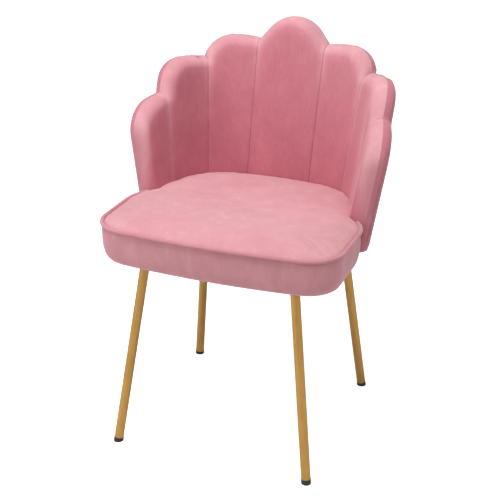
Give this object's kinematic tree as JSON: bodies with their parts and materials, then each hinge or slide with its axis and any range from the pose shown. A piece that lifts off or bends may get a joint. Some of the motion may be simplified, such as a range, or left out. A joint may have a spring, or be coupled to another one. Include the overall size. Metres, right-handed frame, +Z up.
{
  "type": "upholstered armchair",
  "caption": "Tub chair whose scalloped, channelled velvet back wraps round a piped T-shaped seat, on splayed tubular legs.",
  "frame": {"origin": "on the floor, under the middle of the chair's overall box", "axes": "+Z up, -Y the way the sitter faces, +X to the sitter's left"},
  "size_m": [0.5696, 0.5372, 0.8307],
  "materials": {
    "inner_velvet": "velvet, short pile",
    "outer_velvet": "velvet, short pile",
    "seat_velvet": "velvet, short pile",
    "piping_velvet": "velvet, short pile",
    "foam": "open cell foam",
    "plywood": "sanded",
    "softwood": "planed",
    "dust_cloth": "non-woven, matte",
    "glide_plastic": "satin moulded",
    "zinc_steel": "zinc plated",
    "gold_paint": "satin gold"
  },
  "bodies": {
    "root": {"back_outer_pad": "outer_velvet", "back_stave_arm_left": "plywood", "back_stave_arm_right": "plywood", "back_stave_corner_left": "plywood", "back_stave_corner_right": "plywood", "back_stave_middle": "plywood", "back_stave_side_left": "plywood", "back_stave_side_right": "plywood", "channel_pad_arm_left": "inner_velvet", "channel_pad_arm_right": "inner_velvet", "channel_pad_corner_left": "inner_velvet", "channel_pad_corner_right": "inner_velvet", "channel_pad_middle": "inner_velvet", "channel_pad_side_left": "inner_velvet", "channel_pad_side_right": "inner_velvet", "cleat_rear": "softwood", "cleat_side_left": "softwood", "cleat_side_right": "softwood", "dust_cover": "dust_cloth", "leg_back_left": "gold_paint", "leg_back_right": "gold_paint", "leg_front_left": "gold_paint", "leg_front_right": "gold_paint", "leg_glides": "glide_plastic", "leg_gusset_back_left": "gold_paint", "leg_gusset_back_right": "gold_paint", "leg_gusset_front_left": "gold_paint", "leg_gusset_front_right": "gold_paint", "leg_plate_back_left": "gold_paint", "leg_plate_back_right": "gold_paint", "leg_plate_front_left": "gold_paint", "leg_plate_front_right": "gold_paint", "leg_screws": "zinc_steel", "seat_board": "plywood", "seat_foam": "foam", "seat_piping": "piping_velvet", "seat_side_cover": "seat_velvet", "seat_top_cover": "seat_velvet", "shell_bolts": "zinc_steel", "shell_tee_nuts": "zinc_steel"}
  },
  "joints": []
}
